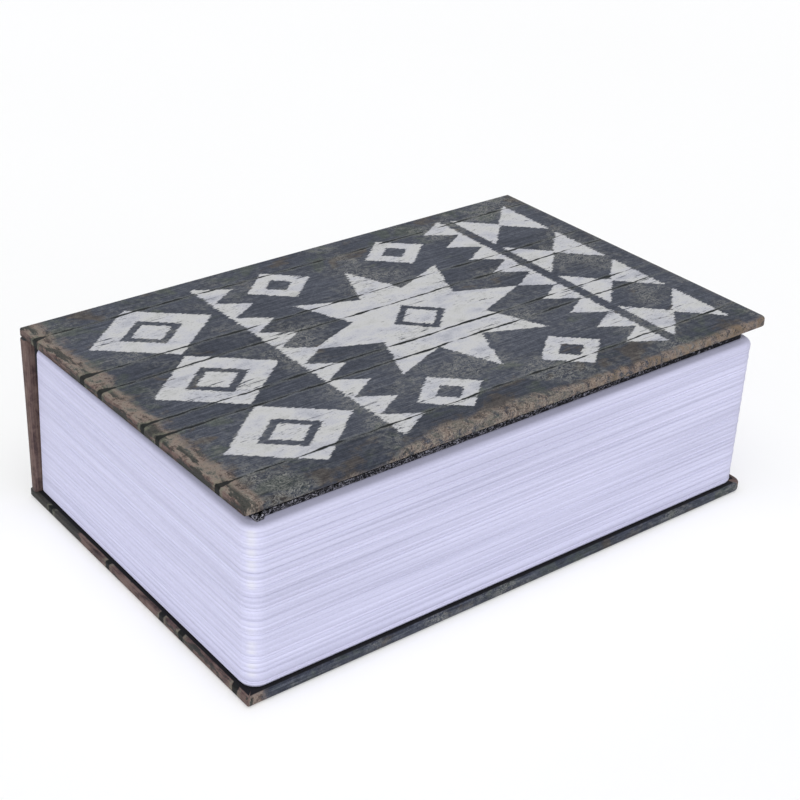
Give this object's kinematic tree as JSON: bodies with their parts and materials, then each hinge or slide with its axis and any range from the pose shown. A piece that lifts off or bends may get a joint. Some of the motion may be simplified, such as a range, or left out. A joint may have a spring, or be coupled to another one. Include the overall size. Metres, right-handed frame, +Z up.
{
  "type": "book diversion safe",
  "caption": "Hardcover book with moulded fake pages that hides a steel box with a hinged lid and a key lock under its front cover.",
  "frame": {"origin": "centre of the back cover's underside, on the surface that the closed book lies on", "axes": "+Z up from the back cover to the front cover, +Y along the spine from tail to head, +X from the spine to the fore-edge"},
  "size_m": [0.117, 0.18, 0.059],
  "materials": {
    "printed_paper": "matt laminated print of dark weathered planks with brown worn edges",
    "grey_board": "raw grey board",
    "black_paper": "black lining paper",
    "page_plastic": "pale ribbed moulding that imitates pages",
    "black_steel": "black textured powder coat",
    "zinc_steel": "zinc plated",
    "lock_chrome": "bright plated",
    "wafer_brass": "plain",
    "felt": "black felt",
    "foam_tape": "white foam tape"
  },
  "bodies": {
    "book": {"back_wrap": "printed_paper", "back_board": "grey_board", "back_lining": "black_paper", "spine_wrap": "printed_paper", "spine_board": "grey_board", "joint_strip": "black_paper", "page_block": "page_plastic", "tape_spine_side": "foam_tape", "tape_fore_side": "foam_tape", "box_body": "black_steel", "box_mat": "felt", "lock_keeper": "zinc_steel", "hinge_pin": "zinc_steel"},
    "front_cover": {"front_wrap": "printed_paper", "front_board": "grey_board", "front_lining": "black_paper"},
    "lid": {"box_lid": "black_steel", "lock_barrel": "lock_chrome", "lock_washer": "zinc_steel", "lock_nut": "zinc_steel"},
    "lock": {"lock_plug": "lock_chrome", "wafer_1": "wafer_brass", "wafer_2": "wafer_brass", "wafer_3": "wafer_brass", "wafer_4": "wafer_brass", "lock_cam": "zinc_steel", "cam_washer": "zinc_steel", "cam_screw": "zinc_steel"}
  },
  "joints": [
    {"name": "cover_hinge", "type": "hinge", "parent": "book", "child": "front_cover", "pos_m": [-0.0585, 0, 0.053], "axis": [0, -1, 0], "range_deg": [0, 203]},
    {"name": "lid_hinge", "type": "hinge", "parent": "book", "child": "lid", "pos_m": [-0.0484, 0, 0.0515], "axis": [0, -1, 0], "range_deg": [0, 101.5]},
    {"name": "lock_turn", "type": "hinge", "parent": "lid", "child": "lock", "pos_m": [0.0335, 0, 0.053], "axis": [0, 0, -1], "range_deg": [0, 90]}
  ],
  "couplings": [
    {"joint": "lid_hinge", "follows": "cover_hinge", "ratio": 0.5}
  ]
}
